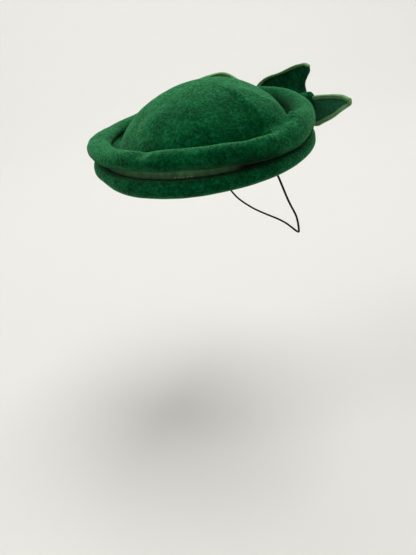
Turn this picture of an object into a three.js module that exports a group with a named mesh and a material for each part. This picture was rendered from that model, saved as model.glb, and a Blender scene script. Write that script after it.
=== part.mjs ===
// A pancake hat of velour felt: a low domed crown inside a fat rolled rim, a flatter brim roll below it,
// a grosgrain band in the groove between the two rolls, a bow of three bound felt leaves at the back,
// and a thin elastic that passes behind the head.
// Millimetres. +Z is up, the wearer faces -Y and the wearer's left is +X.
// The origin is the centre of the head opening, in the plane of the brim roll's underside.
import * as THREE from 'three';
import { mergeVertices } from 'three/addons/utils/BufferGeometryUtils.js';

// Felt, ribbon and the gap between pieces that touch
const feltWall = 2;
const seatGap = 0.3;
const ribbonThickness = 0.7;

// Plan of the rim, measured over the upper roll
const rimLength = 214;
const rimWidth = 220;

// Upper roll
const rollWidth = 22;
const rollHeight = 15;

// Groove between the rolls, with the collar that the band lies on
const grooveHeight = 8.5;
const grooveDepth = 13.5;
const collarRise = 3;

// Lower brim roll
const brimRollWidth = 16;
const brimRollHeight = 13.5;
const brimInset = 1.5;
const hemRise = 4;

// Crown
const domeHeight = 32;
const troughDepth = 14;
const troughWidth = 6;
const domeSetBack = 11;
const domeSweep = THREE.MathUtils.degToRad(78);

// Bow at the back: the leaves' tables give shares of its span, and the knot that gathers them follows it
const bowSpan = 84;
const knotWidth = bowSpan * 0.31;
const knotHeight = bowSpan * 0.285;
const knotDepth = bowSpan * 0.142;
const knotAside = bowSpan * 0.13;
const leafWall = 2;
const knotDrop = 11;
const bindingWidth = 4.5;
const cornerEase = 0.15;

// Head elastic
const elasticDiameter = 2;
const elasticDrop = 95;

// Fineness of the lofts
const rimSteps = 48;
const domeSteps = 8;
const rollSteps = 13;
const brimSteps = 8;
const leafSteps = 8;
const elasticSteps = 72;

// How the rim changes on its way round, as shares of the named sizes. At 0 degrees is the wearer's left,
// at 90 the back. trough: its depth; gutter: its width; groove: its height; swell: the roll's width;
// crest: how far the roll's top stands above its mean, of the roll's height.
const rimForm = [
  { at: 0, trough: 0.75, gutter: 1.7, groove: 0.47, swell: 0.74, crest: 0.02 },
  { at: 7, trough: 0.6, gutter: 1.2, groove: 0.33, swell: 0.75, crest: -0.06 },
  { at: 14, trough: -0.4, gutter: 0.5, groove: 0.2, swell: 0.8, crest: -0.16 },
  { at: 27, trough: -0.36, gutter: 0.4, groove: 0.13, swell: 0.9, crest: -0.1 },
  { at: 42, trough: 0.55, gutter: 0.4, groove: 0.12, swell: 1.0, crest: 0.1 },
  { at: 60, trough: 0.9, gutter: 0.7, groove: 0.12, swell: 1.0, crest: 0.13 },
  { at: 90, trough: 1.0, gutter: 0.8, groove: 0.25, swell: 1.0, crest: 0.17 },
  { at: 135, trough: 1.0, gutter: 1.0, groove: 0.8, swell: 1.0, crest: 0.05 },
  { at: 180, trough: 1.0, gutter: 1.2, groove: 0.85, swell: 1.0, crest: -0.42 },
  { at: 195, trough: 0.95, gutter: 1.25, groove: 0.8, swell: 1.0, crest: -0.55 },
  { at: 212, trough: 0.9, gutter: 1.3, groove: 0.7, swell: 1.0, crest: -0.54 },
  { at: 240, trough: 0.92, gutter: 1.3, groove: 0.62, swell: 1.02, crest: -0.24 },
  { at: 270, trough: 1.0, gutter: 1.4, groove: 0.7, swell: 1.05, crest: -0.1 },
  { at: 300, trough: 1.0, gutter: 1.2, groove: 1.0, swell: 1.0, crest: 0.13 },
  { at: 325, trough: 1.0, gutter: 1.0, groove: 0.98, swell: 1.0, crest: 0.22 },
  { at: 344, trough: 0.9, gutter: 1.0, groove: 0.8, swell: 0.96, crest: 0.17 },
];

// A column of a round table, read smoothly at any direction
function around(table, column, degrees) {
  const count = table.length;
  const turn = THREE.MathUtils.euclideanModulo(degrees, 360);
  let row = count - 1;
  while (row > 0 && table[row].at > turn) row -= 1;
  const from = table[row].at;
  const to = row === count - 1 ? table[0].at + 360 : table[row + 1].at;
  const share = (turn - from) / (to - from);
  const eased = share * share * (3 - 2 * share);
  return THREE.MathUtils.lerp(table[row][column], table[(row + 1) % count][column], eased);
}

// The rim's outermost radius in a direction
function rimRadius(angle) {
  const across = Math.cos(angle) / (rimWidth / 2);
  const along = Math.sin(angle) / (rimLength / 2);
  return 1 / Math.hypot(across, along);
}

// A profile point moved sideways from its line, to the line's right as it is walked
function offsetLine(line, distance) {
  return line.map((point, i) => {
    const before = line[Math.max(i - 1, 0)];
    const after = line[Math.min(i + 1, line.length - 1)];
    const way = new THREE.Vector2(after.x - before.x, after.y - before.y).normalize();
    return new THREE.Vector2(point.x + way.y * distance, point.y - way.x * distance);
  });
}

function arc(centreR, centreZ, halfWidth, halfHeight, fromDegrees, toDegrees, steps) {
  const points = [];
  for (let i = 0; i <= steps; i += 1) {
    const turn = THREE.MathUtils.degToRad(THREE.MathUtils.lerp(fromDegrees, toDegrees, i / steps));
    points.push(new THREE.Vector2(centreR + halfWidth * Math.cos(turn), centreZ + halfHeight * Math.sin(turn)));
  }
  return points;
}

// A triangle mesh from rings of points. Each ring closes on itself; the rings either close on each other
// or are capped, where a ring's second half is its first half's other side, walked back.
function loft(rings, { cyclic = true, capped = false } = {}) {
  const size = rings[0].length;
  const positions = rings.flat().flatMap((p) => [p.x, p.y, p.z]);
  const faces = [];
  const last = cyclic ? rings.length : rings.length - 1;
  for (let i = 0; i < last; i += 1) {
    const here = i * size;
    const next = ((i + 1) % rings.length) * size;
    for (let j = 0; j < size; j += 1) {
      const k = (j + 1) % size;
      faces.push(here + j, next + j, next + k, here + j, next + k, here + k);
    }
  }
  if (capped) {
    const end = (rings.length - 1) * size;
    for (let j = 0; j < size / 2 - 1; j += 1) {
      const k = size - 1 - j;
      faces.push(j, j + 1, k - 1, j, k - 1, k);
      faces.push(end + j, end + k - 1, end + j + 1, end + j, end + k, end + k - 1);
    }
  }
  const geometry = new THREE.BufferGeometry();
  geometry.setAttribute('position', new THREE.Float32BufferAttribute(positions, 3));
  geometry.setIndex(faces);
  return closed(geometry);
}

// Shared points merged, flat triangles dropped, faces turned outwards
function closed(geometry) {
  const merged = mergeVertices(geometry, 1e-4);
  const index = merged.index.array;
  const place = merged.attributes.position;
  const [a, b, c] = [new THREE.Vector3(), new THREE.Vector3(), new THREE.Vector3()];
  const kept = [];
  let volume = 0;
  for (let i = 0; i < index.length; i += 3) {
    const [p, q, r] = [index[i], index[i + 1], index[i + 2]];
    if (p === q || q === r || r === p) continue;
    kept.push(p, q, r);
    a.fromBufferAttribute(place, p);
    b.fromBufferAttribute(place, q);
    c.fromBufferAttribute(place, r);
    volume += a.dot(b.clone().cross(c));
  }
  if (volume < 0) {
    for (let i = 0; i < kept.length; i += 3) [kept[i], kept[i + 1]] = [kept[i + 1], kept[i]];
  }
  merged.setIndex(kept);
  merged.computeVertexNormals();
  return merged;
}

// A ring of felt or ribbon: profileAt gives the section in each direction
function sweepRound(profileAt, steps) {
  const rings = [];
  for (let i = 0; i < steps; i += 1) {
    const angle = (i / steps) * 2 * Math.PI;
    rings.push(profileAt(angle).map(({ x: r, y: z }) => (
      new THREE.Vector3(r * Math.cos(angle), r * Math.sin(angle), z))));
  }
  return loft(rings);
}

const grooveFloor = brimRollHeight;
const crestHeight = grooveFloor + grooveHeight + rollHeight;
const crownTop = crestHeight + domeHeight;

const collarFace = (angle) => rimRadius(angle) - grooveDepth;
const rollUnderside = (degrees) => grooveFloor + grooveHeight * around(rimForm, 'groove', degrees);

// Crown: dome, gutter and the rolled rim, whose edge turns in to the collar
function crownProfile(angle) {
  const degrees = THREE.MathUtils.radToDeg(angle);
  const outer = rimRadius(angle);
  const width = rollWidth * around(rimForm, 'swell', degrees);
  const crest = crestHeight + rollHeight * around(rimForm, 'crest', degrees);
  const underside = rollUnderside(degrees);
  const middleZ = (crest + underside) / 2;
  const halfHeight = (crest - underside) / 2;
  const floor = crest - troughDepth * around(rimForm, 'trough', degrees);
  const gutter = troughWidth * around(rimForm, 'gutter', degrees);
  const foot = outer - width - gutter;
  const line = [];
  for (let i = 0; i <= domeSteps; i += 1) {
    const sweep = (domeSweep * i) / domeSteps;
    const share = (Math.cos(sweep) - Math.cos(domeSweep)) / (1 - Math.cos(domeSweep));
    line.push(new THREE.Vector2((foot * Math.sin(sweep)) / Math.sin(domeSweep), floor + (crownTop - floor) * share));
  }
  line.push(new THREE.Vector2(foot + gutter * 0.45, floor - 1));
  const inward = Math.asin(THREE.MathUtils.clamp((middleZ - floor) / halfHeight, -0.97, 0.75));
  const start = 180 + THREE.MathUtils.radToDeg(inward);
  line.push(...arc(outer - width / 2, middleZ, width / 2, halfHeight, start, -96, rollSteps));
  line.push(new THREE.Vector2(collarFace(angle) + seatGap, underside + 0.5));
  return line;
}

function crown() {
  const outside = [];
  const inside = [];
  for (let i = 0; i < rimSteps; i += 1) {
    const angle = (i / rimSteps) * 2 * Math.PI;
    const line = crownProfile(angle);
    const back = offsetLine(line, feltWall);
    back[0].set(0, crownTop - feltWall);
    back[back.length - 1].x = line[line.length - 1].x;
    const place = ({ x: r, y: z }) => {
      const foot = line[domeSteps].x;
      const shift = domeSetBack * Math.max(0, 1 - (r / foot) ** 2);
      return new THREE.Vector3(r * Math.cos(angle), r * Math.sin(angle) + shift, z);
    };
    outside.push(line.map(place));
    inside.push(back.map(place));
  }
  return loft(outside.map((line, i) => [...line, ...inside[i].reverse()]));
}

// Brim: a collar that stands in the groove, the lower roll and the hem turned up inside it
function brim() {
  return sweepRound((angle) => {
    const outer = rimRadius(angle) - brimInset;
    const collar = collarFace(angle);
    const underside = rollUnderside(THREE.MathUtils.radToDeg(angle));
    const halfWidth = brimRollWidth / 2;
    const halfHeight = brimRollHeight / 2;
    const line = [
      new THREE.Vector2(collar, underside + collarRise),
      new THREE.Vector2(collar, (underside + grooveFloor) / 2),
      new THREE.Vector2(collar, grooveFloor - 0.4),
      ...arc(outer - halfWidth, halfHeight, halfWidth, halfHeight, 117, -180, brimSteps),
      new THREE.Vector2(outer - brimRollWidth, halfHeight + hemRise),
    ];
    return [...line, ...offsetLine(line, feltWall).reverse()];
  }, rimSteps);
}

// Band: a flat grosgrain ribbon round the collar, under the upper roll
function band() {
  return sweepRound((angle) => {
    const degrees = THREE.MathUtils.radToDeg(angle);
    const inner = collarFace(angle) + seatGap;
    const low = grooveFloor;
    const high = rollUnderside(degrees) - seatGap;
    return [
      new THREE.Vector2(inner, low),
      new THREE.Vector2(inner + ribbonThickness, low),
      new THREE.Vector2(inner + ribbonThickness, high),
      new THREE.Vector2(inner, high),
    ];
  }, rimSteps);
}

// A place by the rim: along it from the back towards the wearer's left, out from it, and above the knot's middle
const knotLevel = crestHeight - knotDrop;

function byRim(along, out, up) {
  const angle = Math.PI / 2 - along / (rimLength / 2);
  const r = rimRadius(angle) + out;
  return new THREE.Vector3(r * Math.cos(angle), r * Math.sin(angle), knotLevel + up);
}

// Knot: a wrap of felt that stands against the upper roll, with rounded ends
function knot() {
  const sides = 14;
  const stations = [
    { at: -1, girth: 0.66 }, { at: -0.86, girth: 0.9 }, { at: -0.4, girth: 0.97 }, { at: 0, girth: 0.93 },
    { at: 0.4, girth: 0.97 }, { at: 0.86, girth: 0.9 }, { at: 1, girth: 0.66 },
  ];
  return loft(stations.map(({ at, girth }) => {
    const ring = [];
    for (let i = 0; i < sides; i += 1) {
      const turn = ((i + 0.5) / sides) * 2 * Math.PI;
      const out = (knotDepth / 2) * (1 + girth * Math.cos(turn)) + seatGap;
      const up = (knotHeight / 2) * girth * Math.sin(turn);
      ring.push(byRim(knotAside + (knotWidth / 2) * at, out, up));
    }
    return ring;
  }), { cyclic: false, capped: true });
}

// Leaves of the bow. A row gives the places of the leaf's two edges, from the root to the tip: along the rim,
// out from it and up from the knot's middle. bulge: how far the middle stands off the edges.
const leaves = {
  near: [
    { along1: 0.275, out1: 0.11, up1: -0.27, along2: 0.295, out2: 0.11, up2: 0.075, bulge: 0.01 },
    { along1: 0.39, out1: 0.16, up1: -0.21, along2: 0.42, out2: 0.175, up2: 0.102, bulge: 0.035 },
    { along1: 0.5, out1: 0.22, up1: -0.14, along2: 0.54, out2: 0.24, up2: 0.127, bulge: 0.04 },
    { along1: 0.62, out1: 0.285, up1: -0.04, along2: 0.645, out2: 0.315, up2: 0.14, bulge: 0.03 },
    { along1: 0.735, out1: 0.375, up1: 0.062, along2: 0.735, out2: 0.38, up2: 0.124, bulge: 0 },
  ],
  upper: [
    { along1: -0.7, out1: 0.13, up1: 0.03, along2: 0.01, out2: 0.145, up2: 0.06, bulge: -0.01 },
    { along1: -0.57, out1: 0.095, up1: 0.172, along2: 0.0, out2: 0.145, up2: 0.15, bulge: -0.03 },
    { along1: -0.3, out1: 0.08, up1: 0.275, along2: 0.04, out2: 0.16, up2: 0.235, bulge: -0.03 },
    { along1: -0.1, out1: 0.12, up1: 0.362, along2: 0.08, out2: 0.178, up2: 0.31, bulge: -0.02 },
    { along1: 0.01, out1: 0.155, up1: 0.392, along2: 0.085, out2: 0.177, up2: 0.36, bulge: 0 },
  ],
  far: [
    { along1: -0.03, out1: 0.07, up1: -0.12, along2: -0.03, out2: 0.07, up2: 0.03, bulge: -0.005 },
    { along1: -0.3, out1: 0.065, up1: -0.2, along2: -0.3, out2: 0.06, up2: -0.02, bulge: -0.01 },
    { along1: -0.6, out1: 0.065, up1: -0.16, along2: -0.6, out2: 0.055, up2: 0.02, bulge: -0.02 },
    { along1: -0.85, out1: 0.065, up1: -0.07, along2: -0.86, out2: 0.055, up2: 0.155, bulge: -0.03 },
    { along1: -1.06, out1: 0.065, up1: 0.03, along2: -1.05, out2: 0.055, up2: 0.272, bulge: -0.03 },
    { along1: -1.25, out1: 0.065, up1: 0.12, along2: -1.24, out2: 0.055, up2: 0.26, bulge: -0.02 },
    { along1: -1.4, out1: 0.06, up1: 0.16, along2: -1.39, out2: 0.055, up2: 0.225, bulge: 0 },
  ],
};

// A leaf's surface: share runs from root to tip, across from -1 at its first edge to 1 at its second,
// lift is the height off the middle of the felt and past runs beyond the tip.
function leafSurface(rows) {
  const edge = (side) => new THREE.CatmullRomCurve3(rows.map((row) => (
    byRim(row[`along${side}`] * bowSpan, row[`out${side}`] * bowSpan, row[`up${side}`] * bowSpan))));
  const first = edge(1);
  const second = edge(2);
  const middle = (share) => first.getPoint(share).add(second.getPoint(share)).multiplyScalar(0.5);
  const frame = (share) => {
    const a = first.getPoint(share);
    const b = second.getPoint(share);
    const way = middle(Math.min(share + 0.02, 1)).sub(middle(Math.max(share - 0.02, 0))).normalize();
    const half = b.clone().sub(a).multiplyScalar(0.5);
    const normal = new THREE.Vector3().crossVectors(half, way).normalize();
    const place = share * (rows.length - 1);
    const row = Math.min(Math.floor(place), rows.length - 2);
    const bulge = bowSpan * THREE.MathUtils.lerp(rows[row].bulge, rows[row + 1].bulge, place - row);
    return { a, half, way, normal, bulge };
  };
  return {
    lastRow: middle(1).distanceTo(middle(1 - 1 / leafSteps)),
    halfWidth: (share) => frame(share).half.length(),
    bindingDepth: (share) => Math.min(bindingWidth, frame(share).half.length() * 0.75),
    point(share, across, lift, past = 0) {
      const { a, half, way, normal, bulge } = frame(share);
      return a.clone().addScaledVector(half, across + 1)
        .addScaledVector(normal, bulge * (1 - across * across) + lift)
        .addScaledVector(way, past);
    },
  };
}

function leaf(rows) {
  const surface = leafSurface(rows);
  const rings = [];
  for (let i = 0; i <= leafSteps; i += 1) {
    const share = i / leafSteps;
    const bound = 1 - surface.bindingDepth(share) / surface.halfWidth(share);
    const across = [-1, -bound, -bound / 3, bound / 3, bound, 1];
    rings.push([
      ...across.map((s) => surface.point(share, s, leafWall / 2)),
      ...across.toReversed().map((s) => surface.point(share, s, -leafWall / 2)),
    ]);
  }
  return loft(rings, { cyclic: false, capped: true });
}

// Binding: a ribbon folded over a leaf's edge, up one side, round the tip and down the other,
// or with oneSide set, ending at the tip's second corner
function binding(rows, { oneSide = false } = {}) {
  const surface = leafSurface(rows);
  const section = (share, side, corner) => {
    const depth = surface.bindingDepth(share);
    const inner = leafWall / 2 + seatGap + (corner ? cornerEase : 0);
    const outer = inner + ribbonThickness;
    const at = (reach, lift) => {
      const across = side * (1 + reach / surface.halfWidth(share));
      const place = surface.point(share, across, lift, corner ? Math.max(reach, 0) : 0);
      if (!corner || reach > 0) return place;
      return place.lerp(surface.point(1 - 1 / leafSteps, across, lift), -reach / surface.lastRow);
    };
    const gap = seatGap;
    const skin = seatGap + ribbonThickness;
    return [
      at(-depth, outer), at(skin, outer), at(skin, -outer), at(-depth, -outer),
      at(-depth, -inner), at(gap, -inner), at(gap, inner), at(-depth, inner),
    ];
  };
  const rings = [];
  for (let i = 0; i < leafSteps; i += 1) rings.push(section(i / leafSteps, -1, false));
  rings.push(section(1, -1, true), section(1, 1, true));
  for (let i = leafSteps - 1; i >= 0 && !oneSide; i -= 1) rings.push(section(i / leafSteps, 1, false));
  return loft(rings, { cyclic: false, capped: true });
}

// Elastic: a round cord from inside the hem at the wearer's left, behind the head and up to the right.
// turn: degrees from the wearer's left towards the back; reach: of the hem's radius; drop: of elasticDrop.
const elasticPath = [
  { turn: 14, reach: 1, drop: -0.095 },
  { turn: 14.5, reach: 1, drop: -0.02 },
  { turn: 19, reach: 0.975, drop: 0.09 },
  { turn: 26.7, reach: 0.975, drop: 0.395 },
  { turn: 35.8, reach: 0.97, drop: 0.63 },
  { turn: 43.8, reach: 0.94, drop: 0.825 },
  { turn: 57, reach: 0.9, drop: 0.945 },
  { turn: 90, reach: 0.87, drop: 1 },
];

function elastic() {
  const places = elasticPath.map(({ turn, reach, drop }) => {
    const angle = THREE.MathUtils.degToRad(turn);
    const hem = rimRadius(angle) - brimInset - brimRollWidth - seatGap - elasticDiameter / 2;
    return new THREE.Vector3(hem * reach * Math.cos(angle), hem * reach * Math.sin(angle), -elasticDrop * drop);
  });
  const mirrored = places.slice(0, -1).reverse().map((p) => new THREE.Vector3(-p.x, p.y, p.z));
  const section = new THREE.Shape();
  const sides = 8;
  for (let i = 0; i < sides; i += 1) {
    const turn = (i / sides) * 2 * Math.PI;
    const [x, y] = [(elasticDiameter / 2) * Math.cos(turn), (elasticDiameter / 2) * Math.sin(turn)];
    if (i === 0) section.moveTo(x, y);
    else section.lineTo(x, y);
  }
  section.closePath();
  return closed(new THREE.ExtrudeGeometry(section, {
    steps: elasticSteps,
    extrudePath: new THREE.CatmullRomCurve3([...places, ...mirrored]),
  }).deleteAttribute('normal').deleteAttribute('uv'));
}

function material(colour, roughness) {
  return new THREE.MeshStandardMaterial({ color: colour, roughness, metalness: 0 });
}

const hat = new THREE.Group();

function add(name, geometry, finish) {
  const mesh = new THREE.Mesh(geometry, finish);
  mesh.name = name;
  hat.add(mesh);
}

const felt = material(0x12613a, 0.95);
const ribbon = material(0x3d5234, 0.75);
const rubber = material(0x0d0d0f, 0.6);

add('crown_felt', crown(), felt);
add('brim_felt', brim(), felt);
add('groove_band', band(), ribbon);
add('bow_knot', knot(), felt);
add('bow_leaf_near', leaf(leaves.near), felt);
add('bow_leaf_upper', leaf(leaves.upper), felt);
add('bow_leaf_far', leaf(leaves.far), felt);
add('binding_near', binding(leaves.near), ribbon);
add('binding_upper', binding(leaves.upper, { oneSide: true }), ribbon);
add('binding_far', binding(leaves.far), ribbon);
add('head_elastic', elastic(), rubber);

export default hat;
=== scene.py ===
import math

import bmesh
import bpy
from mathutils import Matrix, Vector, noise


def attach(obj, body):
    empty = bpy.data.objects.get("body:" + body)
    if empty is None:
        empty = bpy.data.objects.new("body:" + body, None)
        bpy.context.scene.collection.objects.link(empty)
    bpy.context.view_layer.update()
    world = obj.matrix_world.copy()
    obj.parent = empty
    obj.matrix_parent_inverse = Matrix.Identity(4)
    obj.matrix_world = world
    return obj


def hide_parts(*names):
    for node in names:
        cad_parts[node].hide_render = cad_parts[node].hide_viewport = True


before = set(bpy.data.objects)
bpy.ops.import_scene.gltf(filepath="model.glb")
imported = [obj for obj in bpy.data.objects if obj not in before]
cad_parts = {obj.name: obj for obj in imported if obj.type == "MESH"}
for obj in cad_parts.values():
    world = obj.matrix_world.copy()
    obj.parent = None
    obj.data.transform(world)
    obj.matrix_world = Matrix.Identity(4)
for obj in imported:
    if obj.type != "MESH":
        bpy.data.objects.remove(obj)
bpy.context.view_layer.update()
MM = 0.001

# ---------------------------------------------------------------------------
# Camera
# A portrait picture, 416 by 555, from the wearer's left and a little above,
# with the hat tilted towards the face as it is worn.
# ---------------------------------------------------------------------------
PICTURE_WIDTH, PICTURE_HEIGHT = 416, 555
FOCAL_PIXELS = 787
AIM = Vector((0, 0, 38)) * MM
AIM_PIXEL = (198, 116.7)
CAMERA_AZIMUTH, CAMERA_ELEVATION, CAMERA_ROLL = (math.radians(a) for a in (65, 15.6, 9.3))
CAMERA_DISTANCE = 0.75
SENSOR = 36

back = Vector((
    math.sin(CAMERA_AZIMUTH) * math.cos(CAMERA_ELEVATION),
    -math.cos(CAMERA_AZIMUTH) * math.cos(CAMERA_ELEVATION),
    math.sin(CAMERA_ELEVATION),
))
level_right = Vector((math.cos(CAMERA_AZIMUTH), math.sin(CAMERA_AZIMUTH), 0))
level_up = back.cross(level_right)
right = level_right * math.cos(CAMERA_ROLL) - level_up * math.sin(CAMERA_ROLL)
up = level_right * math.sin(CAMERA_ROLL) + level_up * math.cos(CAMERA_ROLL)
aim_line = Vector((
    (AIM_PIXEL[0] - PICTURE_WIDTH / 2) / FOCAL_PIXELS,
    -(AIM_PIXEL[1] - PICTURE_HEIGHT / 2) / FOCAL_PIXELS,
    -1,
)).normalized()
turn_to_aim = Vector((0, 0, -1)).rotation_difference(aim_line).to_matrix()
axes = (turn_to_aim @ Matrix((right, up, back))).transposed().to_4x4()

lens = bpy.data.cameras.new("picture_camera")
lens.sensor_fit = "VERTICAL"
lens.sensor_height = SENSOR
lens.lens = FOCAL_PIXELS / PICTURE_HEIGHT * SENSOR
camera = bpy.data.objects.new("picture_camera", lens)
camera.matrix_world = Matrix.Translation(AIM + back * CAMERA_DISTANCE) @ axes
bpy.context.collection.objects.link(camera)
bpy.context.scene.camera = camera


# ---------------------------------------------------------------------------
# Head elastic
# A thin black braided elastic. Both ends are sewn inside the hem, above the
# ears, and the loop passes down and behind the head.
# ---------------------------------------------------------------------------
RIM_LENGTH, RIM_WIDTH = 214, 220
BRIM_INSET, BRIM_ROLL_WIDTH = 1.5, 16
SEAT_GAP = 0.3
ELASTIC_DIAMETER, ELASTIC_DROP = 2, 95
# turn in degrees from the wearer's left towards the back; reach, a share of the hem's radius;
# drop, a share of ELASTIC_DROP
ELASTIC_PATH = [
    (14, 1, -0.095), (14.5, 1, -0.02), (19, 0.975, 0.09), (26.7, 0.975, 0.395),
    (35.8, 0.97, 0.63), (43.8, 0.94, 0.825), (57, 0.9, 0.945), (90, 0.87, 1),
]
ELASTIC_POINTS, ELASTIC_FINER = 40, 4


def rim_radius(angle):
    return 1 / math.hypot(math.cos(angle) / (RIM_WIDTH / 2), math.sin(angle) / (RIM_LENGTH / 2))


def smooth_line(points, share):
    """A point on the smooth curve through the points, with share from 0 to 1."""
    place = share * (len(points) - 1)
    i = min(int(place), len(points) - 2)
    t = place - i
    b, c = points[i], points[i + 1]
    a = points[i - 1] if i > 0 else b * 2 - c
    d = points[i + 2] if i + 2 < len(points) else c * 2 - b
    knots = [0.0]
    for p, q in ((a, b), (b, c), (c, d)):
        knots.append(knots[-1] + max((q - p).length, 1e-6) ** 0.5)
    x = knots[1] + (knots[2] - knots[1]) * t

    def between(p, q, k0, k1):
        return p * ((k1 - x) / (k1 - k0)) + q * ((x - k0) / (k1 - k0))

    ab = between(a, b, knots[0], knots[1])
    bc = between(b, c, knots[1], knots[2])
    cd = between(c, d, knots[2], knots[3])
    abc = between(ab, bc, knots[0], knots[2])
    bcd = between(bc, cd, knots[1], knots[3])
    return between(abc, bcd, knots[1], knots[2])


def elastic_place(turn, reach, drop):
    angle = math.radians(turn)
    hem = rim_radius(angle) - BRIM_INSET - BRIM_ROLL_WIDTH - SEAT_GAP - ELASTIC_DIAMETER / 2
    radius = hem * reach
    return Vector((radius * math.cos(angle), radius * math.sin(angle), -ELASTIC_DROP * drop)) * MM


half_loop = [elastic_place(*row) for row in ELASTIC_PATH]
whole_loop = half_loop + [Vector((-p.x, p.y, p.z)) for p in reversed(half_loop[:-1])]
route = [smooth_line(whole_loop, i / (ELASTIC_POINTS - 1)) for i in range(ELASTIC_POINTS)]

elastic_curve = bpy.data.curves.new("elastic_cord", "CURVE")
elastic_curve.dimensions = "3D"
elastic_curve.bevel_depth = ELASTIC_DIAMETER / 2 * MM
elastic_curve.bevel_resolution = 3
elastic_curve.use_fill_caps = True
strand = elastic_curve.splines.new("POLY")
strand.points.add(len(route) * ELASTIC_FINER - 1)
for i, point in enumerate(strand.points):
    point.co = (*smooth_line(route, i / (len(strand.points) - 1)), 1)
elastic = bpy.data.objects.new("elastic_cord", elastic_curve)
bpy.context.collection.objects.link(elastic)


class Shading:
    """A new material with its node tree at hand."""

    def __init__(self, name):
        self.material = bpy.data.materials.new(name)
        self.material.use_nodes = True
        self.nodes = self.material.node_tree.nodes
        self.links = self.material.node_tree.links
        self.surface = self.nodes["Principled BSDF"]

    def add(self, kind, settings=None, **inputs):
        node = self.nodes.new(kind)
        for key, value in (settings or {}).items():
            setattr(node, key, value)
        for key, value in inputs.items():
            socket = node.inputs[key.replace("_", " ")]
            if isinstance(value, bpy.types.NodeSocket):
                self.links.new(value, socket)
            else:
                socket.default_value = value
        return node

    def ramp(self, factor, *stops):
        node = self.add("ShaderNodeValToRGB")
        self.links.new(factor, node.inputs["Fac"])
        ramp = node.color_ramp
        while len(ramp.elements) < len(stops):
            ramp.elements.new(0.5)
        for element, (position, colour) in zip(ramp.elements, stops):
            element.position = position
            element.color = (*colour, 1)
        return node.outputs["Color"]

    def maths(self, operation, *values):
        node = self.add("ShaderNodeMath", {"operation": operation})
        for socket, value in zip(node.inputs, values):
            if isinstance(value, bpy.types.NodeSocket):
                self.links.new(value, socket)
            else:
                socket.default_value = value
        return node.outputs["Value"]

    def mix(self, factor, first, second):
        """From the first colour to the second, which may be a socket or a plain colour."""
        node = self.add("ShaderNodeMix", {"data_type": "RGBA"})
        self.links.new(factor, node.inputs["Factor"])
        self.links.new(first, node.inputs["A"])
        if isinstance(second, bpy.types.NodeSocket):
            self.links.new(second, node.inputs["B"])
        else:
            node.inputs["B"].default_value = (*second, 1)
        return node.outputs["Result"]

    def bump(self, height, strength, distance, under=None):
        node = self.add("ShaderNodeBump", Strength=strength, Distance=distance)
        self.links.new(height, node.inputs["Height"])
        if under:
            self.links.new(under, node.inputs["Normal"])
        return node.outputs["Normal"]

    def place(self):
        return self.add("ShaderNodeTexCoord").outputs["Object"]

    def finish(self, colour, normal=None, **values):
        """Sets the surface: its colour, its normal and single values by their names."""
        self.links.new(colour, self.surface.inputs["Base Color"])
        if normal:
            self.links.new(normal, self.surface.inputs["Normal"])
        for key, value in values.items():
            self.surface.inputs[key.replace("_", " ")].default_value = value
        return self.material


braid = Shading("black_braided_elastic")
weave = braid.add("ShaderNodeTexWave", {"bands_direction": "DIAGONAL"},
                  Vector=braid.place(), Scale=900).outputs["Fac"]
elastic_curve.materials.append(braid.finish(
    braid.ramp(weave, (0.0, (0.001, 0.001, 0.001)), (1.0, (0.008, 0.008, 0.009))),
    braid.bump(weave, 0.5, 0.0002),
    Roughness=0.8, Specular_IOR_Level=0.1))

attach(elastic, "root")
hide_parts("head_elastic")


# ---------------------------------------------------------------------------
# Crown
# One piece of blocked velour felt: a low dome, a gutter round its foot and
# the fat upper roll, whose edge is turned in and sewn to the collar. The folds
# and hollows are pressed in by hand while the felt is damp.
# ---------------------------------------------------------------------------
FELT_WALL = 2
ROLL_WIDTH, ROLL_HEIGHT = 22, 15
GROOVE_HEIGHT, GROOVE_DEPTH = 8.5, 13.5
BRIM_ROLL_HEIGHT = 13.5
DOME_HEIGHT, TROUGH_DEPTH, TROUGH_WIDTH, DOME_SET_BACK = 32, 14, 6, 11
DOME_SWEEP = math.radians(78)
GROOVE_FLOOR = BRIM_ROLL_HEIGHT
CREST = GROOVE_FLOOR + GROOVE_HEIGHT + ROLL_HEIGHT
CROWN_TOP = CREST + DOME_HEIGHT

# How the rim's form changes round the hat. at: degrees from the wearer's left towards the back. The
# rest are shares: of the trough's depth (a saddle above the crest, if minus), the gutter's width,
# the groove's height, the roll's width and, for the crest's rise, the roll's height.
RIM_COLUMNS = ("at", "trough", "gutter", "groove", "swell", "crest")
RIM_FORM = [dict(zip(RIM_COLUMNS, row)) for row in (
    (0, 0.75, 1.7, 0.47, 0.74, 0.02),
    (7, 0.6, 1.2, 0.33, 0.75, -0.06),
    (14, -0.4, 0.5, 0.2, 0.8, -0.16),
    (27, -0.36, 0.4, 0.13, 0.9, -0.1),
    (42, 0.55, 0.4, 0.12, 1.0, 0.1),
    (60, 0.9, 0.7, 0.12, 1.0, 0.13),
    (90, 1.0, 0.8, 0.25, 1.0, 0.17),
    (135, 1.0, 1.0, 0.8, 1.0, 0.05),
    (180, 1.0, 1.2, 0.85, 1.0, -0.42),
    (195, 0.95, 1.25, 0.8, 1.0, -0.55),
    (212, 0.9, 1.3, 0.7, 1.0, -0.54),
    (240, 0.92, 1.3, 0.62, 1.02, -0.24),
    (270, 1.0, 1.4, 0.7, 1.05, -0.1),
    (300, 1.0, 1.2, 1.0, 1.0, 0.13),
    (325, 1.0, 1.0, 0.98, 1.0, 0.22),
    (344, 0.9, 1.0, 0.8, 0.96, 0.17),
)]

GUTTER_MIDDLE, GUTTER_DIP = 0.45, 1
# The roll starts where it meets the gutter, as a height in halves of the roll, and turns in below
ROLL_START_LOWEST, ROLL_START_HIGHEST, ROLL_END = -0.97, 0.75, math.radians(-96)
TURNED_IN_LIFT = 0.5

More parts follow.
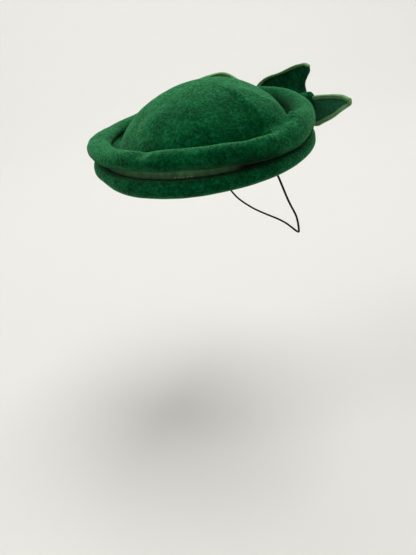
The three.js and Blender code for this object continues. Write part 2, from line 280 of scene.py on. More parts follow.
DOME_STEPS, ROLL_STEPS, ROUND_STEPS = 38, 60, 360
# Hollows pressed into the felt (swells, if minus): place, radius and depth in millimetres
CROWN_PRESSES = [
    ((54, -83, 39), 9, 3.2), ((74, -78, 38), 14, -0.6), ((66, 50, 44), 15, -4.0),
    ((20, 52, 57), 22, 2.2), ((94, 50, 31), 24, -1.2), ((101, 10, 30), 20, -0.5),
    ((-6, -60, 44), 9, 1.2), ((10, -52, 50), 11, -1.2), ((34, -34, 60), 24, -0.8),
    ((58, 2, 57), 20, 0.9), ((60, 72, 36), 12, 0.8), ((74, 57, 39), 7, -2.2),
    ((77, 30, 43), 12, -2.2),
]
# Folds in plan (raised, if minus): the line they follow, their half width and depth in millimetres
CROWN_FOLDS = [
    ([(80, 52), (83, 45), (87.5, 33), (88, 24), (85, 18)], 3.0, 1.5),
    ([(68, 58), (75, 56), (82, 50)], 3.5, -2.0),
    ([(66, 62), (76, 60), (82, 56)], 5.0, 1.8),
]


def clamp(value, lowest=0.0, highest=1.0):
    return max(lowest, min(highest, value))


def rim_form(column, angle):
    """One column of RIM_FORM in any direction, eased from row to row."""
    turn = math.degrees(angle) % 360
    row = max(i for i, entry in enumerate(RIM_FORM) if entry["at"] <= turn)
    here, after = RIM_FORM[row], RIM_FORM[(row + 1) % len(RIM_FORM)]
    end = after["at"] if after["at"] > here["at"] else after["at"] + 360
    share = (turn - here["at"]) / (end - here["at"])
    eased = share * share * (3 - 2 * share)
    return here[column] + (after[column] - here[column]) * eased


def roll_underside(angle):
    return GROOVE_FLOOR + GROOVE_HEIGHT * rim_form("groove", angle)


def crown_line(angle):
    """The felt's outer face in one direction: (radius, height) from the dome's top to the edge
    that is turned in."""
    outer = rim_radius(angle)
    width = ROLL_WIDTH * rim_form("swell", angle)
    crest = CREST + ROLL_HEIGHT * rim_form("crest", angle)
    underside = roll_underside(angle)
    middle, half = (crest + underside) / 2, (crest - underside) / 2
    floor = crest - TROUGH_DEPTH * rim_form("trough", angle)
    gutter = TROUGH_WIDTH * rim_form("gutter", angle)
    foot = outer - width - gutter
    line = []
    for i in range(DOME_STEPS + 1):
        sweep = DOME_SWEEP * i / DOME_STEPS
        share = (math.cos(sweep) - math.cos(DOME_SWEEP)) / (1 - math.cos(DOME_SWEEP))
        line.append((foot * math.sin(sweep) / math.sin(DOME_SWEEP),
                     floor + (CROWN_TOP - floor) * share))
    line.append((foot + gutter * GUTTER_MIDDLE, floor - GUTTER_DIP))
    start_height = clamp((middle - floor) / half, ROLL_START_LOWEST, ROLL_START_HIGHEST)
    start = math.pi + math.asin(start_height)
    for i in range(ROLL_STEPS + 1):
        turn = start + (ROLL_END - start) * i / ROLL_STEPS
        line.append((outer - width / 2 + width / 2 * math.cos(turn),
                     middle + half * math.sin(turn)))
    line.append((outer - GROOVE_DEPTH + SEAT_GAP, underside + TURNED_IN_LIFT))
    return line


def spun_sheet(rows, steps_round):
    """A sheet spun round the hat's axis, its rows one above the other for now, at a radius of 1."""
    mesh = bmesh.new()
    profile = [mesh.verts.new((1, 0, row)) for row in range(rows + 1)]
    edges = [mesh.edges.new(pair) for pair in zip(profile, profile[1:])]
    bmesh.ops.spin(mesh, geom=profile + edges, cent=(0, 0, 0), axis=(0, 0, 1),
                   angle=math.tau, steps=steps_round, use_merge=True, use_duplicate=False)
    return mesh


def paint_shade(mesh, amount_at):
    """Marks painted shade, 0 to 1, by row and direction on a spun sheet, as an attribute that
    darkens the colour.
    """
    layer = mesh.verts.layers.float.new("painted_shade")
    for vert in mesh.verts:
        vert[layer] = amount_at(round(vert.co.z), math.atan2(vert.co.y, vert.co.x))


def lay_on_profiles(mesh, line_at):
    """Moves a spun sheet's rows onto the profile that line_at gives in each direction."""
    known = {}
    for vert in mesh.verts:
        angle = round(math.atan2(vert.co.y, vert.co.x), 6)
        if angle not in known:
            known[angle] = line_at(angle)
        radius, height = known[angle][round(vert.co.z)]
        vert.co = (radius * math.cos(angle), radius * math.sin(angle), height)


FAR_OFF = 1e9
FOLD_FADE, FOLD_LEAST = 3.2, 0.15
FINE_SWELL, FINE_SWELL_SIZE, FINE_SWELL_SHIFT = 0.5, 0.42, Vector((7, 3, 1))


def fold_distance(point, line):
    """How far a point is in plan from a fold's line, and the fold's strength there, which is less
    at its ends."""
    best, along = FAR_OFF, 0.0
    flat = Vector((point.x, point.y))
    for i, (start, end) in enumerate(zip(line, line[1:])):
        a, b = Vector(start), Vector(end)
        share = clamp((flat - a).dot(b - a) / (b - a).length_squared)
        gap = (flat - a.lerp(b, share)).length
        if gap < best:
            best, along = gap, (i + share) / (len(line) - 1)
    return best, min(1.0, FOLD_FADE * min(along, 1 - along) + FOLD_LEAST)


def hand_work(mesh, presses=(), folds=(), swell=0.5, swell_size=26, nap=0.0, still_above=FAR_OFF):
    """Presses hollows and folds into the face, and adds the swells that hand blocking leaves."""
    bmesh.ops.remove_doubles(mesh, verts=mesh.verts, dist=0.01)
    bmesh.ops.recalc_face_normals(mesh, faces=mesh.faces)
    mesh.normal_update()
    moves = []
    for vert in mesh.verts:
        point = vert.co
        if point.z > still_above:
            continue
        rise = nap + swell * noise.noise(point / swell_size)
        finer = point / (swell_size * FINE_SWELL_SIZE) + FINE_SWELL_SHIFT
        rise += swell * FINE_SWELL * noise.noise(finer)
        for centre, radius, depth in presses:
            rise -= depth * math.exp(-((point - Vector(centre)).length / radius) ** 2)
        if point.z > CREST - ROLL_HEIGHT and vert.normal.z > 0:
            for line, half_width, depth in folds:
                gap, hold = fold_distance(point, line)
                if gap < half_width * 3:
                    rise -= depth * hold * math.exp(-(gap / half_width) ** 2)
        moves.append((vert, vert.normal * rise))
    for vert, move in moves:
        vert.co += move


def finished(name, mesh, *finishes):
    """Scales the mesh from millimetres and makes it a piece with its finishes."""
    bmesh.ops.scale(mesh, vec=(MM, MM, MM), verts=mesh.verts)
    data = bpy.data.meshes.new(name)
    mesh.to_mesh(data)
    mesh.free()
    data.shade_smooth()
    for finish in finishes:
        data.materials.append(finish)
    piece = bpy.data.objects.new(name, data)
    bpy.context.collection.objects.link(piece)
    return piece


def give_wall(piece, thickness, offset=-1.0, back_finish=0):
    """Thickens a piece's sheet: inwards with offset -1, to both sides with 0, outwards with 1."""
    wall = piece.modifiers.new("wall", "SOLIDIFY")
    wall.thickness = thickness * MM
    wall.offset = offset
    wall.material_offset = back_finish


def soft(mesh, verts, times):
    for _ in range(times):
        bmesh.ops.smooth_vert(mesh, verts=verts, factor=0.5,
                              use_axis_x=True, use_axis_y=True, use_axis_z=True)


GROOVE_OPEN, GROOVE_CLOSING = 0.98, 0.4
# Where shade is painted, in rows: up the dome and up the roll, more behind, and under the roll
SHADE_UP_DOME, SHADE_UP_ROLL, SHADE_MORE_BEHIND = 4, 9, 7
SHADE_UNDER_ROLL, SHADE_SOONER, SHADE_FADE = 46, 8, 10
SHADE_MOST_AT, SHADE_MEAN, SHADE_VARIES = math.radians(55), 0.65, 0.35
GUTTER_ROWS = range(DOME_STEPS - 3, DOME_STEPS + 10)
GUTTER_SOFTENING = 8


def groove_closed(angle):
    """How far the two rolls close over the groove, 0 to 1."""
    return clamp((GROOVE_OPEN - rim_form("groove", angle)) / GROOVE_CLOSING)


def painted_shade_on_crown(row, angle):
    """Painted shade in the gutter, on both its slopes, and under the roll."""
    past_gutter = row - DOME_STEPS - 1
    reach = SHADE_UP_DOME
    if past_gutter > 0:
        reach = SHADE_UP_ROLL + SHADE_MORE_BEHIND * max(0.0, math.sin(angle))
    gutter = math.exp(-(past_gutter / reach) ** 2) * max(0.0, rim_form("trough", angle))
    gutter *= SHADE_MEAN + SHADE_VARIES * math.cos(angle - SHADE_MOST_AT)
    from_row = SHADE_UNDER_ROLL - SHADE_SOONER * groove_closed(angle)
    return max(gutter, clamp((past_gutter - from_row) / SHADE_FADE))


crown_mesh = spun_sheet(len(crown_line(0)) - 1, ROUND_STEPS)
# Painted shade in the gutter and under the roll, which darkens the colour
paint_shade(crown_mesh, painted_shade_on_crown)
gutter_verts = [vert for vert in crown_mesh.verts if round(vert.co.z) in GUTTER_ROWS]
lay_on_profiles(crown_mesh, crown_line)
for vert in crown_mesh.verts:
    angle = math.atan2(vert.co.y, vert.co.x)
    roll = ROLL_WIDTH * rim_form("swell", angle)
    foot = rim_radius(angle) - roll - TROUGH_WIDTH * rim_form("gutter", angle)
    vert.co.y += DOME_SET_BACK * max(0, 1 - (vert.co.xy.length / foot) ** 2)
soft(crown_mesh, gutter_verts, GUTTER_SOFTENING)
hand_work(crown_mesh, CROWN_PRESSES, CROWN_FOLDS, swell=0.55)

# The nap of velour felt: brushed into patches, with a short grain that stands up between them
brushed_nap = bpy.data.node_groups.new("brushed_nap", "ShaderNodeTree")
brushed_nap.interface.new_socket("Place", in_out="INPUT", socket_type="NodeSocketVector")
for output in ("Lie", "Grain"):
    brushed_nap.interface.new_socket(output, in_out="OUTPUT", socket_type="NodeSocketFloat")
nap_in, nap_out = (brushed_nap.nodes.new(kind) for kind in ("NodeGroupInput", "NodeGroupOutput"))
# scale of each noise, its detail, roughness and distortion, and its share of the lie
NAP_NOISES = [(34, 3, 0.6, 0.8, 0.28), (160, 4, 0.65, 0.5, 0.32), (430, 3, 0.75, 0.0, 0.4)]
lie = None
for scale, detail, roughness, distortion, share in NAP_NOISES:
    cloud = brushed_nap.nodes.new("ShaderNodeTexNoise")
    for socket, value in (("Scale", scale), ("Detail", detail),
                          ("Roughness", roughness), ("Distortion", distortion)):
        cloud.inputs[socket].default_value = value
    brushed_nap.links.new(nap_in.outputs["Place"], cloud.inputs["Vector"])
    add = brushed_nap.nodes.new("ShaderNodeMath")
    add.operation = "MULTIPLY_ADD"
    add.inputs[1].default_value = share
    add.inputs[2].default_value = 0
    brushed_nap.links.new(cloud.outputs["Fac"], add.inputs[0])
    if lie:
        brushed_nap.links.new(lie, add.inputs[2])
    lie = add.outputs["Value"]
brushed_nap.links.new(lie, nap_out.inputs["Lie"])
brushed_nap.links.new(cloud.outputs["Fac"], nap_out.inputs["Grain"])


PAINTED_SHEEN_POWER = 2.5
# Painted shade: the dark green the velour turns to in gutters, under the roll and in the groove
VELOUR_PAINTED_SHADE = (0.0005, 0.014, 0.004)


def velour(name, deep, body, raised, edge):
    """Velour felt: deep where the nap lies flat, raised where it stands, lighter where it is seen
    edge on (a painted sheen), and darker where the piece's attribute of painted shade is high."""
    look = Shading(name)
    nap = look.add("ShaderNodeGroup", {"node_tree": brushed_nap}, Place=look.place())
    colour = look.ramp(nap.outputs["Lie"], (0.41, deep), (0.5, body), (0.6, raised))
    coarse = look.bump(nap.outputs["Lie"], 0.5, 0.0014)
    fine = look.bump(nap.outputs["Grain"], 0.6, 0.0009, coarse)
    # A painted sheen: a paler colour mixed in where the surface is seen edge on
    facing = look.add("ShaderNodeLayerWeight", Blend=0.5, Normal=fine).outputs["Facing"]
    painted_sheen = look.ramp(nap.outputs["Grain"], (0.38, [value * 0.5 for value in edge]),
                     (0.62, [value * 1.6 for value in edge]))
    colour = look.mix(look.maths("POWER", facing, PAINTED_SHEEN_POWER), colour, painted_sheen)
    # Painted shade from the piece's attribute darkens the colour
    painted_shade = look.add("ShaderNodeAttribute", {"attribute_name": "painted_shade"}).outputs["Fac"]
    return look.finish(look.mix(painted_shade, colour, VELOUR_PAINTED_SHADE), fine,
                       Roughness=1.0, Specular_IOR_Level=0.0, Sheen_Weight=0.12,
                       Sheen_Roughness=0.4, Sheen_Tint=(0.3, 0.9, 0.45, 1))


green_velour = velour("green_velour", (0.0002, 0.018, 0.005), (0.0006, 0.038, 0.0110),
                      (0.0036, 0.078, 0.027), (0.038, 0.190, 0.078))

# The smooth reverse of the same felt, which the inside of the hat and the leaves' other faces show
reverse_look = Shading("smooth_reverse")
fibres = reverse_look.add("ShaderNodeTexNoise", Scale=420, Detail=4,
                          Vector=reverse_look.place()).outputs["Fac"]
smooth_reverse = reverse_look.finish(
    reverse_look.ramp(fibres, (0.3, (0.006, 0.064, 0.028)), (0.7, (0.017, 0.135, 0.060))),
    reverse_look.bump(fibres, 0.4, 0.0003),
    Roughness=0.85, Specular_IOR_Level=0.12)

crown = finished("crown_shell", crown_mesh, green_velour, smooth_reverse)
give_wall(crown, FELT_WALL, back_finish=1)
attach(crown, "root")
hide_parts("crown_felt")


# ---------------------------------------------------------------------------
# Brim
# A second piece of the same felt: a collar that stands up in the groove, the
# flatter lower roll, and a hem turned up inside it, where the head goes in.
# ---------------------------------------------------------------------------
COLLAR_RISE, COLLAR_SEAT, HEM_RISE = 3, 0.4, 4
# The roll starts in the groove and turns right round to the hem
BRIM_ROLL_START, BRIM_ROLL_TURN = math.radians(117), math.radians(-297)
BRIM_STEPS = 44
# The nap stands up over the face, up to this far below the groove's floor
BRIM_NAP, BRIM_STILL = 0.5, 0.6
# How many rows from the collar get painted shade, and more rows where the groove is closed
SHADE_COLLAR, SHADE_LIP, SHADE_CLOSED_LIP = 2, 1.3, 8
BRIM_PRESSES = [
    ((38, -92, -2), 44, -1.3), ((84, -58, -2), 36, -1.0), ((-30, -102, 8), 34, 1.2),
    ((104, 20, 6), 22, -0.4), ((60, 84, 8), 12, 0.6), ((2, -100, 1), 22, 2.2),
]


def brim_line(angle):
    """The felt's outer face in one direction: (radius, height) from the collar's edge to the
    hem's."""
    outer = rim_radius(angle) - BRIM_INSET
    collar = rim_radius(angle) - GROOVE_DEPTH
    underside = roll_underside(angle)
    half_width, half_height = BRIM_ROLL_WIDTH / 2, BRIM_ROLL_HEIGHT / 2
    line = [(collar, underside + COLLAR_RISE), (collar, (underside + GROOVE_FLOOR) / 2),
            (collar, GROOVE_FLOOR - COLLAR_SEAT)]
    for i in range(BRIM_STEPS + 1):
        turn = BRIM_ROLL_START + BRIM_ROLL_TURN * i / BRIM_STEPS
        line.append((outer - half_width + half_width * math.cos(turn),
                     half_height + half_height * math.sin(turn)))
    line.append((outer - BRIM_ROLL_WIDTH, half_height + HEM_RISE * 0.5))
    line.append((outer - BRIM_ROLL_WIDTH, half_height + HEM_RISE))
    return line


def painted_shade_on_brim(row, angle):
    """Painted shade on the collar and over the roll's lip in the groove."""
    reach = SHADE_LIP + SHADE_CLOSED_LIP * groove_closed(angle)
    return math.exp(-(max(0, row - SHADE_COLLAR) / reach) ** 2)


brim_mesh = spun_sheet(len(brim_line(0)) - 1, ROUND_STEPS)
# Painted shade on the collar and the roll's lip in the groove
paint_shade(brim_mesh, painted_shade_on_brim)
lay_on_profiles(brim_mesh, brim_line)
hand_work(brim_mesh, BRIM_PRESSES, swell=0.35, swell_size=30, nap=BRIM_NAP,
          still_above=GROOVE_FLOOR - BRIM_STILL)
brim = finished("brim_shell", brim_mesh, green_velour, smooth_reverse)
give_wall(brim, FELT_WALL, back_finish=1)
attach(brim, "root")
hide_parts("brim_felt")


# ---------------------------------------------------------------------------
# Groove band
# Olive grosgrain ribbon laid flat round the collar, in the groove between the
# two rolls. Its ribs run up and down and its woven edges are browner. Its ends
# meet on the wearer's left, where a run of tan stitches holds its lower edge.
# ---------------------------------------------------------------------------
RIBBON_THICKNESS = 0.7
RIB_PITCH = 0.9
BAND_ROWS = 4
STITCH_COUNT, STITCH_PITCH, STITCH_START = 5, 4.1, math.radians(-41.5)
STITCH_LENGTH, STITCH_WIDTH = 3.0, 1.0
STITCH_HEIGHT, STITCH_LIFT, STITCH_SLANT = 1.7, 0.1, 0.2


def band_line(angle):
    """The band's inner face in one direction, as (radius, height) from its lower edge up."""
    radius = rim_radius(angle) - GROOVE_DEPTH + SEAT_GAP
    low, high = GROOVE_FLOOR, roll_underside(angle) - SEAT_GAP
    return [(radius, low + (high - low) * i / BAND_ROWS) for i in range(BAND_ROWS + 1)]


def map_ribbon(mesh, place_on_ribbon):
    """UV on a ribbon: metres along it, and 0 to 1 across it."""
    layer = mesh.loops.layers.uv.new("UVMap")
    for face in mesh.faces:
        for loop in face.loops:
            loop[layer].uv = place_on_ribbon(loop.vert, face)


def place_on_band(vert, face):
    """Metres round the band, counted on from the face's middle so that no face spans the seam."""
    middle = face.calc_center_median()
    start = math.atan2(middle.y, middle.x)
    step = (math.atan2(vert.co.y, vert.co.x) - start + math.pi) % math.tau - math.pi
    return (start + step) * RIM_WIDTH / 2 * MM, vert.co.z / BAND_ROWS


band_mesh = spun_sheet(BAND_ROWS, ROUND_STEPS)
map_ribbon(band_mesh, place_on_band)
# Painted shade on the band where the two rolls close over the groove
paint_shade(band_mesh, lambda row, angle: groove_closed(angle))
lay_on_profiles(band_mesh, band_line)
bmesh.ops.recalc_face_normals(band_mesh, faces=band_mesh.faces)


# The near black that painted shade turns the ribbon to
RIBBON_PAINTED_SHADE = (0.002, 0.004, 0.002)


def grosgrain(name, dark, light, selvedge, edge_width=0.1, stitch_line=None):
    """Grosgrain ribbon: ribs across it from its own UV map, browner at its edges and along a line
    of stitches, and darker where the piece's attribute of painted shade is high."""
    look = Shading(name)
    uv = look.add("ShaderNodeUVMap", {"uv_map": "UVMap"}).outputs["UV"]
    along, across = look.add("ShaderNodeSeparateXYZ", Vector=uv).outputs[:2]
    rib = look.maths("SINE", look.maths("MULTIPLY", along, math.tau / (RIB_PITCH * MM)))
    rib = look.maths("MULTIPLY_ADD", rib, 0.5, 0.5)
    wear = look.add("ShaderNodeTexNoise", Scale=160, Detail=4, Vector=look.place()).outputs["Fac"]
    colour = look.ramp(look.maths("MULTIPLY_ADD", rib, 0.5, wear), (0.35, dark), (1.0, light))
    from_edge = look.maths("PINGPONG", across, 0.5)
    brown = look.maths("LESS_THAN", from_edge, edge_width)
    if stitch_line:
        brown = look.maths("MAXIMUM", brown, look.maths("COMPARE", from_edge, stitch_line, 0.022))
    # Painted shade from the piece's attribute darkens the colour
    painted_shade = look.add("ShaderNodeAttribute", {"attribute_name": "painted_shade"}).outputs["Fac"]
    return look.finish(look.mix(painted_shade, look.mix(brown, colour, selvedge), RIBBON_PAINTED_SHADE),
                       look.bump(rib, 0.7, 0.0003),
                       Roughness=0.7, Specular_IOR_Level=0.2, Sheen_Weight=0.1)


band_grosgrain = grosgrain("olive_grosgrain", (0.032, 0.098, 0.036), (0.110, 0.300, 0.118),
                           (0.060, 0.070, 0.036))
band = finished("ribbon_band", band_mesh, band_grosgrain)
give_wall(band, RIBBON_THICKNESS, offset=1)
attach(band, "root")
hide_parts("groove_band")

thread_look = Shading("tan_thread")
twist = thread_look.add("ShaderNodeTexWave", {"bands_direction": "DIAGONAL"}, Scale=1600,
                        Vector=thread_look.place()).outputs["Fac"]
tan_thread = thread_look.finish(
    thread_look.ramp(twist, (0.0, (0.26, 0.23, 0.12)), (1.0, (0.6, 0.53, 0.33))), Roughness=0.6)


def stitch(mesh, place, along):
    """One hand stitch: a short fat lozenge of thread, lying along a direction."""
    made = bmesh.ops.create_icosphere(mesh, subdivisions=1, radius=0.5)
    turn = Vector((1, 0, 0)).rotation_difference(along).to_matrix().to_4x4()
    size = Matrix.Diagonal((STITCH_LENGTH, STITCH_WIDTH, STITCH_WIDTH, 1))
    bmesh.ops.transform(mesh, matrix=Matrix.Translation(place) @ turn @ size, verts=made["verts"])


stitch_mesh = bmesh.new()
for i in range(STITCH_COUNT):
    angle = STITCH_START + i * STITCH_PITCH / (RIM_WIDTH / 2)
    radius = rim_radius(angle) - GROOVE_DEPTH + SEAT_GAP + RIBBON_THICKNESS + STITCH_LIFT
    height = GROOVE_FLOOR + STITCH_HEIGHT
    stitch(stitch_mesh, Vector((radius * math.cos(angle), radius * math.sin(angle), height)),
           Vector((-math.sin(angle), math.cos(angle), STITCH_SLANT)))
band_stitches = finished("band_stitches", stitch_mesh, tan_thread)
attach(band_stitches, "root")


# ---------------------------------------------------------------------------
# Bow leaves
# Three leaves cut from the felt, gathered behind the roll: one towards the
# wearer's left, one standing up and one lying round the far side. Each shows
# the velour on one face and the felt's smooth reverse on the other.
# ---------------------------------------------------------------------------
BOW_SPAN = 84
KNOT_DROP = 11
KNOT_LEVEL = CREST - KNOT_DROP
LEAF_ROWS, LEAF_COLUMNS = 60, 30
TIP_FROM, TIP_ROUNDING = 0.8, 0.4
UPPER_CURL, CURL_FROM = -2.2, 0.5
RIPPLE_SIZE = 13
LENGTH_STEPS, WAY_STEP = 24, 0.02
# Each row: along, out and up for the first edge, the same for the second, and the bulge, all as
# shares of BOW_SPAN
NEAR_LEAF = [
    (0.2, 0.05, -0.22, 0.2, 0.06, 0.04, 0),
    (0.275, 0.11, -0.27, 0.295, 0.11, 0.075, 0.01),
    (0.39, 0.16, -0.21, 0.42, 0.175, 0.102, 0.035),
    (0.5, 0.22, -0.14, 0.54, 0.24, 0.127, 0.04),
    (0.62, 0.285, -0.04, 0.645, 0.315, 0.14, 0.03),
    (0.735, 0.375, 0.062, 0.735, 0.38, 0.124, 0),
]
UPPER_LEAF = [
    (-0.55, 0.12, -0.12, 0.09, 0.135, -0.08, 0),
    (-0.7, 0.13, 0.03, 0.01, 0.145, 0.06, -0.01),
    (-0.57, 0.095, 0.172, 0.0, 0.145, 0.15, -0.03),
    (-0.3, 0.08, 0.275, 0.04, 0.16, 0.235, -0.03),
    (-0.1, 0.12, 0.362, 0.08, 0.178, 0.31, -0.02),
    (0.01, 0.155, 0.392, 0.085, 0.177, 0.36, 0),
]
FAR_LEAF = [
    (-0.03, 0.07, -0.12, -0.03, 0.07, 0.03, -0.005),
    (-0.3, 0.065, -0.2, -0.3, 0.06, -0.02, -0.01),
    (-0.6, 0.065, -0.16, -0.6, 0.055, 0.02, -0.02),
    (-0.85, 0.065, -0.07, -0.86, 0.055, 0.155, -0.03),
    (-1.06, 0.065, 0.03, -1.05, 0.055, 0.272, -0.03),
    (-1.25, 0.065, 0.12, -1.24, 0.055, 0.26, -0.02),
    (-1.4, 0.06, 0.16, -1.39, 0.055, 0.225, 0),
]


def by_rim(along, out, rise):
    """A place by the rim: along it from the back towards the wearer's left, out from it, and above
    the knot's middle."""
    angle = math.pi / 2 - along / (RIM_LENGTH / 2)
    radius = rim_radius(angle) + out
    return Vector((radius * math.cos(angle), radius * math.sin(angle), KNOT_LEVEL + rise))


class LeafForm:
    """A leaf's middle surface. share runs from root to tip, across from -1 to 1, and lift is off
    the felt's middle."""

    def __init__(self, rows, curl=0.0):
        self.first = [by_rim(*(value * BOW_SPAN for value in row[0:3])) for row in rows]
        self.second = [by_rim(*(value * BOW_SPAN for value in row[3:6])) for row in rows]
        self.bulges = [row[6] * BOW_SPAN for row in rows]
        self.curl = curl
        self.known = {}
        steps = [self.middle(i / LENGTH_STEPS) for i in range(LENGTH_STEPS + 1)]
        self.length = sum((b - a).length for a, b in zip(steps, steps[1:]))

    def middle(self, share):
        return (smooth_line(self.first, share) + smooth_line(self.second, share)) / 2

    def frame(self, share):
        share = round(share, 5)
        if share not in self.known:
            a, b = smooth_line(self.first, share), smooth_line(self.second, share)
            half = (b - a) / 2
            after = self.middle(min(share + WAY_STEP, 1))
            before = self.middle(max(share - WAY_STEP, 0))
            way = (after - before).normalized()
            place = share * (len(self.bulges) - 1)
            i = min(int(place), len(self.bulges) - 2)
            bulge = self.bulges[i] + (self.bulges[i + 1] - self.bulges[i]) * (place - i)
            self.known[share] = (a, half, way, half.cross(way).normalized(), bulge)
        return self.known[share]

    def half_width(self, share):
        return self.frame(share)[1].length

    def point(self, share, across, lift=0.0, past=0.0):
        a, half, way, normal, bulge = self.frame(share)
        flat = clamp(across, -1.0)
        tip = max(0.0, (share - TIP_FROM) / (1 - TIP_FROM)) ** 2 * TIP_ROUNDING * half.length
        curled = max(0.0, (across - CURL_FROM) / (1 - CURL_FROM)) ** 2 * (1 - share ** 3)
        lift += bulge * (1 - flat * flat) + self.curl * curled
        return a + half * (across + 1) + normal * lift + way * (past + tip * (1 - flat ** 4))


def leaf(name, node, form, front, back, ripple=0.7):
    """A felt leaf with the soft ripple of cut felt, which fades to the edges, where the binding
    holds it."""
    mesh = bmesh.new()
    bmesh.ops.create_grid(mesh, x_segments=LEAF_ROWS, y_segments=LEAF_COLUMNS, size=1)
    for vert in mesh.verts:
        share, across = (vert.co.x + 1) / 2, vert.co.y
        lift = ripple * noise.noise(form.point(share, across) / RIPPLE_SIZE) * (1 - across ** 4)
        vert.co = form.point(share, across, lift)
    piece = finished(name, mesh, front, back)
    give_wall(piece, FELT_WALL, offset=0, back_finish=1)
    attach(piece, "root")
    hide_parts(node)


# A darker copy of the same felt, with a weaker painted sheen, as painted shade on the upper leaf
# and the knot
shade_painted_velour = velour("shade_painted_velour", (0.0006, 0.018, 0.005), (0.0016, 0.040, 0.013),
                       (0.004, 0.075, 0.028), (0.018, 0.130, 0.055))
near_form = LeafForm(NEAR_LEAF)
upper_form = LeafForm(UPPER_LEAF, curl=UPPER_CURL)
far_form = LeafForm(FAR_LEAF)
leaf("leaf_near", "bow_leaf_near", near_form, smooth_reverse, green_velour)
leaf("leaf_upper", "bow_leaf_upper", upper_form, smooth_reverse, shade_painted_velour)
leaf("leaf_far", "bow_leaf_far", far_form, green_velour, smooth_reverse)


# ---------------------------------------------------------------------------
# Leaf bindings
# The same olive grosgrain, folded over the leaves' cut edges, mitred round the
# tips and stitched down through both sides. The upper leaf is bound on its
# long edge and round the tip only.
# ---------------------------------------------------------------------------
BINDING_WIDTH = 4.5
# Steps up an edge, round the tip and across the ribbon
BINDING_RUN, BINDING_TIP, BINDING_FOLD = 70, 14, 20
FOLD_SHARE, EDGE_PRESS = 0.16, 0.35
ONE_SIDE_END = 0.85
MOST_OF_LEAF = 0.97
NEAR_SECOND_SHARE = 0.68

binding_grosgrain = grosgrain("binding_grosgrain", (0.045, 0.150, 0.048), (0.120, 0.350, 0.115),
                              (0.075, 0.070, 0.036), edge_width=0.07, stitch_line=0.36)


def ribbon_section(fold, depth):
    """Across the ribbon, 0 to 1: how far it lies in from the leaf's edge, and its lift off the
    felt's middle."""
    lift = FELT_WALL / 2 + SEAT_GAP + RIBBON_THICKNESS / 2
    from_fold = abs(fold - 0.5)
    side = 1 if fold < 0.5 else -1
    if from_fold < FOLD_SHARE / 2:
        turn = from_fold / (FOLD_SHARE / 2) * math.pi / 2
        return -(SEAT_GAP + RIBBON_THICKNESS / 2) * math.cos(turn), side * lift * math.sin(turn)
    flat = (from_fold - FOLD_SHARE / 2) / (0.5 - FOLD_SHARE / 2)
    return depth * flat, side * (lift - EDGE_PRESS * flat ** 3)


def binding(name, node, form, one_side=False, second_share=1.0):
    """A folded ribbon that runs up the first edge, round the tip and, unless one_side, down the
    second edge, where its width is second_share of the first edge's."""
    runs = 1 if one_side else 2
    last_across = ONE_SIDE_END if one_side else 1
    steps = BINDING_RUN * runs + BINDING_TIP
    mesh = bmesh.new()
    bmesh.ops.create_grid(mesh, x_segments=steps, y_segments=BINDING_FOLD, size=1)
    row_of = {vert: round((vert.co.x + 1) / 2 * steps) for vert in mesh.verts}
    fold_of = {vert: (vert.co.y + 1) / 2 for vert in mesh.verts}
    pace = (form.length * runs + 2 * form.half_width(1)) / steps * MM
    map_ribbon(mesh, lambda vert, face: (row_of[vert] * pace, fold_of[vert]))
    for vert in mesh.verts:
        row, fold = row_of[vert], fold_of[vert]
        if BINDING_RUN < row < BINDING_RUN + BINDING_TIP:
            across, share = (row - BINDING_RUN) / BINDING_TIP * (last_across + 1) - 1, 1.0
        elif row <= BINDING_RUN:
            across, share = -1, row / BINDING_RUN
        else:
            across, share = last_across, 1.0 if one_side else (steps - row) / BINDING_RUN
        width = BINDING_WIDTH * (second_share if across > 0 else 1)
        depth = min(width, form.half_width(share) * MOST_OF_LEAF)
        inset, lift = ribbon_section(fold, depth)
        if inset > 0:
            share *= 1 - inset / form.length
            vert.co = form.point(share, across * max(0.0, 1 - inset / form.half_width(share)), lift)
        else:
            past = -inset if share == 1.0 else 0.0
            vert.co = form.point(share, across * (1 - inset / form.half_width(share)), lift, past)
    bmesh.ops.recalc_face_normals(mesh, faces=mesh.faces)
    piece = finished(name, mesh, binding_grosgrain)
    give_wall(piece, RIBBON_THICKNESS, offset=0)
    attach(piece, "root")
    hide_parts(node)


binding("leaf_binding_near", "binding_near", near_form, second_share=NEAR_SECOND_SHARE)
binding("leaf_binding_upper", "binding_upper", upper_form, one_side=True)
binding("leaf_binding_far", "binding_far", far_form)


# ---------------------------------------------------------------------------
# Knot
# A strip of the felt wrapped round the gathered leaves and sewn down behind,
# with soft pleats along it. It leans down towards the far side.
# ---------------------------------------------------------------------------
KNOT_WIDTH, KNOT_HEIGHT, KNOT_DEPTH, KNOT_ASIDE = (
    BOW_SPAN * share for share in (0.31, 0.285, 0.142, 0.13))
KNOT_SIDES, KNOT_STATIONS = 72, 44
KNOT_LEAN, KNOT_SAG = 2.5, 3.0
KNOT_GIRTH, KNOT_WIDENS, KNOT_END_FROM, KNOT_NARROWS = 0.93, 0.05, 0.7, 0.32
PLEAT_DEPTH, PLEAT_COUNT, PLEAT_TWIST = 0.045, 3, 1.4

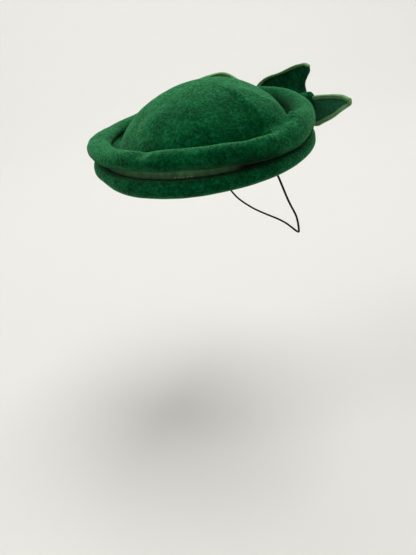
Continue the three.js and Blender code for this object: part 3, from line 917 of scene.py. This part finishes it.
knot_mesh = bmesh.new()
bmesh.ops.create_cone(knot_mesh, cap_ends=True, cap_tris=False, segments=KNOT_SIDES,
                      radius1=1, radius2=1, depth=2)
long_edges = [edge for edge in knot_mesh.edges
              if abs(edge.verts[0].co.z - edge.verts[1].co.z) > 1]
bmesh.ops.subdivide_edges(knot_mesh, edges=long_edges, cuts=KNOT_STATIONS, use_grid_fill=False)
for vert in knot_mesh.verts:
    at, turn = vert.co.z, math.atan2(vert.co.y, vert.co.x)
    end = max(0.0, (abs(at) - KNOT_END_FROM) / (1 - KNOT_END_FROM))
    girth = (KNOT_GIRTH + KNOT_WIDENS * at) * (1 - KNOT_NARROWS * end ** 2)
    pleat = PLEAT_DEPTH * math.cos(turn * PLEAT_COUNT + at * PLEAT_TWIST) * (1 - end)
    out = KNOT_DEPTH / 2 * (1 + (girth + pleat) * math.cos(turn)) + SEAT_GAP
    rise = KNOT_HEIGHT / 2 * (girth + pleat) * math.sin(turn) + KNOT_LEAN * at - KNOT_SAG
    vert.co = by_rim(KNOT_ASIDE + KNOT_WIDTH / 2 * at, out, rise)
hand_work(knot_mesh, swell=0.25, swell_size=9)
knot = finished("felt_knot", knot_mesh, shade_painted_velour)
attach(knot, "root")
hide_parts("bow_knot")


# ---------------------------------------------------------------------------
# Studio
# A pale seamless sweep, lit by large soft lights from the left and above, with
# a weak one in front and one more for the wall.
# ---------------------------------------------------------------------------
SWEEP_RADIUS, SWEEP_FLOOR, SWEEP_BEND, SWEEP_TOP = 3.0, -0.33, 1.6, 4.5
SWEEP_BEND_STEPS, SWEEP_ROUND_STEPS = 12, 96

sweep_points = [(0.0, SWEEP_FLOOR), (SWEEP_RADIUS - SWEEP_BEND, SWEEP_FLOOR)]
for i in range(1, SWEEP_BEND_STEPS + 1):
    turn = math.radians(-90 + 90 * i / SWEEP_BEND_STEPS)
    sweep_points.append((SWEEP_RADIUS - SWEEP_BEND + SWEEP_BEND * math.cos(turn),
                         SWEEP_FLOOR + SWEEP_BEND + SWEEP_BEND * math.sin(turn)))
sweep_points.append((SWEEP_RADIUS, SWEEP_TOP))
sweep_mesh = bmesh.new()
sweep_verts = [sweep_mesh.verts.new((x, 0, z)) for x, z in sweep_points]
sweep_edges = [sweep_mesh.edges.new(pair) for pair in zip(sweep_verts, sweep_verts[1:])]
bmesh.ops.spin(sweep_mesh, geom=sweep_verts + sweep_edges, cent=(0, 0, 0), axis=(0, 0, 1),
               angle=math.tau, steps=SWEEP_ROUND_STEPS, use_merge=True, use_duplicate=False)
bmesh.ops.remove_doubles(sweep_mesh, verts=sweep_mesh.verts, dist=1e-5)
sweep_data = bpy.data.meshes.new("studio_sweep")
sweep_mesh.to_mesh(sweep_data)
sweep_mesh.free()
sweep_data.shade_smooth()
studio_sweep = bpy.data.objects.new("studio_sweep", sweep_data)
bpy.context.collection.objects.link(studio_sweep)
paper = Shading("warm_paper")
paper.surface.inputs["Base Color"].default_value = (0.630, 0.628, 0.612, 1)
paper.surface.inputs["Roughness"].default_value = 1.0
paper.surface.inputs["Specular IOR Level"].default_value = 0.0
sweep_data.materials.append(paper.material)

# name, place and aim in metres, size in metres, watts, colour
LIGHTS = [
    ("window_light", (-0.2, -1.4, 1.7), (0, 0, 0.03), 1.3, 19, (1.0, 0.985, 0.96)),
    ("overhead_light", (0.5, 0.35, 2.2), (0, 0, 0.03), 1.4, 41, (1.0, 0.99, 0.97)),
    ("fill_light", (1.7, 0.2, 0.6), (0, 0, 0.03), 1.0, 1.5, (1.0, 0.98, 0.95)),
    ("wall_light", (-1.0, 0.4, 1.9), (-2.8, 1.3, 0.2), 1.2, 30, (1.0, 1.0, 0.99)),
]
for name, at, aim, size, watts, tint in LIGHTS:
    lamp = bpy.data.lights.new(name, "AREA")
    lamp.shape = "SQUARE"
    lamp.size = size
    lamp.energy = watts
    lamp.color = tint
    holder = bpy.data.objects.new(name, lamp)
    holder.location = at
    holder.rotation_euler = (Vector(aim) - Vector(at)).to_track_quat("-Z", "Y").to_euler()
    bpy.context.collection.objects.link(holder)

world = bpy.data.worlds.new("studio_air")
world.use_nodes = True
world.node_tree.nodes["Background"].inputs["Color"].default_value = (0.98, 0.98, 0.96, 1)
world.node_tree.nodes["Background"].inputs["Strength"].default_value = 0.42
bpy.context.scene.world = world
bpy.context.scene.view_settings.view_transform = "Standard"
